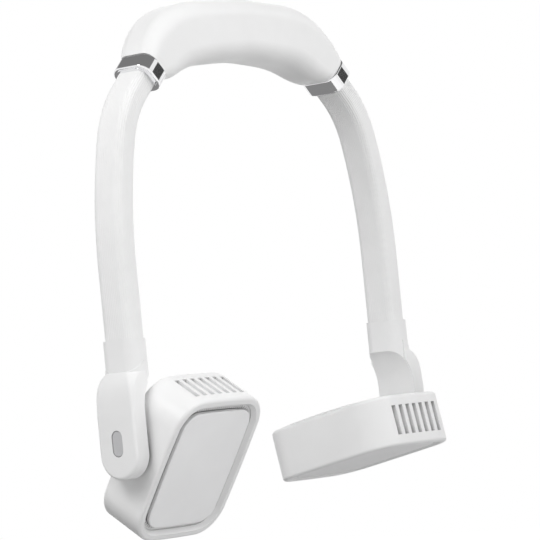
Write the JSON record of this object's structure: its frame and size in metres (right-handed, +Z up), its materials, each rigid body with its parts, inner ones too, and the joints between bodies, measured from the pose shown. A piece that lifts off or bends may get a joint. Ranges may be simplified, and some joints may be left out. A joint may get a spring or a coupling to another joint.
{
  "type": "electric neck fan",
  "caption": "Neck-worn fan: white crescent with polished ferrules, bendable arms, and tilting blower heads with a recessed front panel and air slots.",
  "frame": {"origin": "middle of the crescent's inner face, where it rests on the neck", "axes": "+Z up, +X towards the plain arm, -X towards the arm with the button, -Y out of the fan's front"},
  "size_m": [0.2296, 0.0805, 0.2615],
  "materials": {
    "shell_white": "satin white moulded plastic",
    "panel_grey": "fine matt light grey",
    "ring_chrome": "polished plating",
    "hose_skin": "white skin with fine lengthwise ribs",
    "lead_rubber": "matt black lead",
    "core_metal": "drawn metal",
    "steel": "bright zinc",
    "cell_wrap": "blue shrink wrap",
    "board": "green solder mask",
    "button_grey": "soft grey button",
    "blower_grey": "dark grey moulding",
    "winding": "enamelled copper"
  },
  "bodies": {
    "neckband": {"battery_cells": "cell_wrap", "charge_board": "board", "charge_port": "steel", "left_cable": "lead_rubber", "left_hose": "hose_skin", "left_ring": "ring_chrome", "left_spine_upper": "core_metal", "neckband_back_cover": "shell_white", "neckband_screws": "steel", "neckband_shell": "shell_white", "right_cable": "lead_rubber", "right_hose": "hose_skin", "right_ring": "ring_chrome", "right_spine_upper": "core_metal"},
    "left_arm": {"left_axle": "steel", "left_axle_clip": "steel", "left_bracket": "shell_white", "left_bracket_cover": "shell_white", "left_spine_lower": "core_metal", "left_washer": "steel", "switch_board": "board"},
    "right_arm": {"right_axle": "steel", "right_axle_clip": "steel", "right_bracket": "shell_white", "right_bracket_cover": "shell_white", "right_spine_lower": "core_metal", "right_washer": "steel"},
    "left_head": {"left_back_panel": "shell_white", "left_bush": "blower_grey", "left_front_panel": "panel_grey", "left_head_screws": "steel", "left_housing": "shell_white", "left_stator": "winding", "left_volute": "blower_grey"},
    "right_head": {"right_back_panel": "shell_white", "right_bush": "blower_grey", "right_front_panel": "panel_grey", "right_head_screws": "steel", "right_housing": "shell_white", "right_stator": "winding", "right_volute": "blower_grey"},
    "left_impeller": {"left_impeller": "blower_grey", "left_motor_shaft": "steel"},
    "right_impeller": {"right_impeller": "blower_grey", "right_motor_shaft": "steel"},
    "power_button": {"power_button": "button_grey"}
  },
  "joints": [
    {"name": "left_arm_bend", "type": "hinge", "parent": "neckband", "child": "left_arm", "pos_m": [-0.10253, 0, -0.10006], "axis": [0, 1, 0], "range_deg": [-10, 25], "deforming": ["left_hose", "left_cable"]},
    {"name": "left_head_tilt", "type": "hinge", "parent": "left_arm", "child": "left_head", "pos_m": [-0.10347, 0, -0.1885], "axis": [1, 0, 0], "range_deg": [-72, 108]},
    {"name": "left_impeller_spin", "type": "hinge", "parent": "left_head", "child": "left_impeller", "pos_m": [-0.06872, 0.00391, -0.19769], "axis": [0, -0.829, -0.5592], "continuous": true},
    {"name": "right_arm_bend", "type": "hinge", "parent": "neckband", "child": "right_arm", "pos_m": [0.10253, 0, -0.10006], "axis": [0, -1, 0], "range_deg": [-10, 25], "deforming": ["right_hose", "right_cable"]},
    {"name": "right_head_tilt", "type": "hinge", "parent": "right_arm", "child": "right_head", "pos_m": [0.10347, 0, -0.1885], "axis": [1, 0, 0], "range_deg": [-117.5, 62.5]},
    {"name": "right_impeller_spin", "type": "hinge", "parent": "right_head", "child": "right_impeller", "pos_m": [0.06872, 0.00929, -0.19215], "axis": [0, -0.1822, -0.9833], "continuous": true},
    {"name": "power_button_press", "type": "slide", "parent": "left_arm", "child": "power_button", "axis": [1, 0, 0], "range_m": [0, 0.0006], "stiffness_N_per_m": 600, "springref_m": -0.001}
  ]
}
